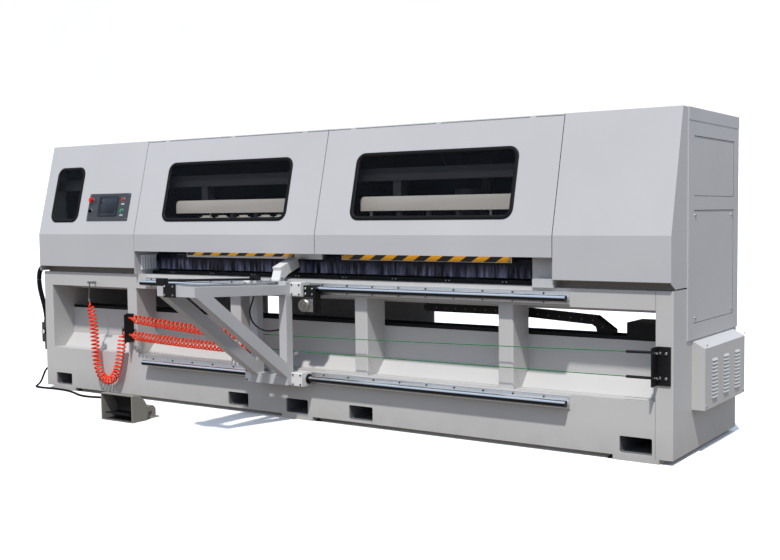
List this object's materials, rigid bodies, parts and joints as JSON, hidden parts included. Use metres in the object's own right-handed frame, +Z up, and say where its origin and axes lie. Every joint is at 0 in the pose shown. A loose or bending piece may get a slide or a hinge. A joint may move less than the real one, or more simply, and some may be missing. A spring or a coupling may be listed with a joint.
{
  "type": "sash milling machine",
  "caption": "Long floor-standing sash milling machine: sloped hood with lift-up glazed doors over a work throat, and a support carriage on front rails.",
  "frame": {"origin": "middle of the base's footprint on the floor", "axes": "+X to the machine's right end, +Y from the operator to the back, +Z up"},
  "size_m": [5.4282, 2.234, 1.94],
  "materials": {
    "light_paint": "satin warm light grey enamel",
    "base_paint": "satin light grey enamel on welded plate",
    "dark_paint": "satin dark grey enamel",
    "white_paint": "satin white enamel",
    "black_oxide": "satin black finish on steel",
    "bright_steel": "ground steel",
    "chromed_shaft": "hard chromed and ground",
    "aluminium": "clear anodised extrusion",
    "cast_grey": "painted light grey casting",
    "black_plastic": "moulded black plastic",
    "red_plastic": "glossy red plastic",
    "green_plastic": "glossy green plastic",
    "screen_glass": "dark touch panel in a grey bezel",
    "tinted_glazing": "smoke tinted safety glazing",
    "curtain_film": "flexible blue-tinted strip film",
    "orange_hose": "orange-red polyurethane air hose",
    "green_rope": "green sheathed rope",
    "black_rubber": "black rubber",
    "fittings_metal": "nickel-plated fittings"
  },
  "bodies": {
    "frame": {"base_front_plate": "base_paint", "base_ends": "base_paint", "base_ribs": "base_paint", "base_body": "base_paint", "base_deck": "base_paint", "fork_pockets": "base_paint", "sole_plates": "base_paint", "base_rear_plates": "base_paint", "cable_chain": "black_plastic", "rail_supports": "aluminium", "rail_shafts": "chromed_shaft", "rope_brackets": "black_oxide", "air_fittings": "fittings_metal", "throat_frame": "light_paint", "table_bar": "black_plastic", "strip_curtain": "curtain_film", "press_beams": "dark_paint", "hood_panels": "light_paint", "hood_ends": "light_paint", "roof": "light_paint", "rear_panels": "light_paint", "vent_box": "base_paint", "hood_window": "tinted_glazing", "control_panel": "dark_paint", "touch_screen": "screen_glass", "hinge_pins": "bright_steel", "gantry_beam": "dark_paint", "mill_rails": "bright_steel", "pedal_housing": "cast_grey", "loop_hose": "orange_hose", "upper_hose": "orange_hose", "lower_hose": "orange_hose", "upper_rope": "green_rope", "lower_rope": "green_rope", "pedal_cable": "black_rubber", "side_conduit": "black_rubber"},
    "left_door": {"left_door": "light_paint", "left_window": "tinted_glazing"},
    "right_door": {"right_door": "light_paint", "right_window": "tinted_glazing"},
    "support_carriage": {"carriage_frame": "light_paint", "linear_axis": "aluminium", "carriage_fittings": "black_oxide", "bearing_blocks": "white_paint", "rail_brake": "black_oxide", "carriage_hose": "black_rubber"},
    "pusher": {"pusher_saddle": "bright_steel"},
    "clamp_arm": {"clamp_arm": "white_paint", "clamp_pad": "black_rubber"},
    "left_press": {"left_press_bar": "aluminium"},
    "right_press": {"right_press_bar": "aluminium"},
    "mill_carriage": {"mill_carriage": "dark_paint"},
    "mill_head": {"mill_head": "dark_paint"},
    "cutter": {"cutter": "bright_steel"},
    "feed_pinion": {"feed_pinion": "bright_steel"},
    "pedal_lever": {"pedal_lever": "black_oxide"},
    "emergency_button": {"emergency_button": "red_plastic"},
    "stop_button": {"stop_button": "red_plastic"},
    "start_button": {"start_button": "green_plastic"},
    "selector_knob": {"selector_knob": "black_plastic"}
  },
  "joints": [
    {"name": "left_door_hinge", "type": "hinge", "parent": "frame", "child": "left_door", "pos_m": [-0.652, -0.41684, 1.934], "axis": [-1, 0, 0], "range_deg": [0, 80]},
    {"name": "right_door_hinge", "type": "hinge", "parent": "frame", "child": "right_door", "pos_m": [1.054, -0.41684, 1.934], "axis": [-1, 0, 0], "range_deg": [0, 80]},
    {"name": "carriage_slide", "type": "slide", "parent": "frame", "child": "support_carriage", "axis": [1, 0, 0], "range_m": [-0.75, 1.7], "deforming": ["upper_hose", "lower_hose"]},
    {"name": "pusher_slide", "type": "slide", "parent": "support_carriage", "child": "pusher", "axis": [0, -0.9989, 0.0468], "range_m": [0, 0.72]},
    {"name": "clamp_arm_hinge", "type": "hinge", "parent": "pusher", "child": "clamp_arm", "pos_m": [-0.0885, -0.638, 0.943], "axis": [1, 0, 0], "range_deg": [-10, 0], "stiffness_Nm_per_rad": 30, "springref_deg": 14.32},
    {"name": "left_press_slide", "type": "slide", "parent": "frame", "child": "left_press", "axis": [0, 0, -1], "range_m": [0, 0.06], "stiffness_N_per_m": 3000, "springref_m": -0.06},
    {"name": "right_press_slide", "type": "slide", "parent": "frame", "child": "right_press", "axis": [0, 0, -1], "range_m": [0, 0.06], "stiffness_N_per_m": 3000, "springref_m": -0.06},
    {"name": "mill_travel", "type": "slide", "parent": "frame", "child": "mill_carriage", "axis": [1, 0, 0], "range_m": [-2.45, 0.55]},
    {"name": "mill_lift", "type": "slide", "parent": "mill_carriage", "child": "mill_head", "axis": [0, 0, 1], "range_m": [-0.03, 0.06]},
    {"name": "cutter_spin", "type": "hinge", "parent": "mill_head", "child": "cutter", "pos_m": [1.15, -0.225, 1.024], "axis": [0, 0, 1], "continuous": true},
    {"name": "pinion_spin", "type": "hinge", "parent": "mill_carriage", "child": "feed_pinion", "pos_m": [1.15, 0.06, 1.1255], "axis": [0, 1, 0], "continuous": true},
    {"name": "pedal_hinge", "type": "hinge", "parent": "frame", "child": "pedal_lever", "pos_m": [-1, -1.135, 0.036], "axis": [1, 0, 0], "range_deg": [0, 10], "stiffness_Nm_per_rad": 20, "springref_deg": -11.46},
    {"name": "emergency_press", "type": "slide", "parent": "frame", "child": "emergency_button", "axis": [0, 0.9691, -0.2468], "range_m": [0, 0.005], "stiffness_N_per_m": 800, "springref_m": -0.002},
    {"name": "stop_press", "type": "slide", "parent": "frame", "child": "stop_button", "axis": [0, 0.9691, -0.2468], "range_m": [0, 0.004], "stiffness_N_per_m": 600, "springref_m": -0.002},
    {"name": "start_press", "type": "slide", "parent": "frame", "child": "start_button", "axis": [0, 0.9691, -0.2468], "range_m": [0, 0.004], "stiffness_N_per_m": 600, "springref_m": -0.002},
    {"name": "selector_turn", "type": "hinge", "parent": "frame", "child": "selector_knob", "pos_m": [-2.019, -0.56305, 1.42062], "axis": [0, -0.9691, 0.2468], "range_deg": [-45, 45]}
  ],
  "couplings": [
    {"joint": "pinion_spin", "follows": "mill_travel", "rad_per_m": -22.222}
  ]
}
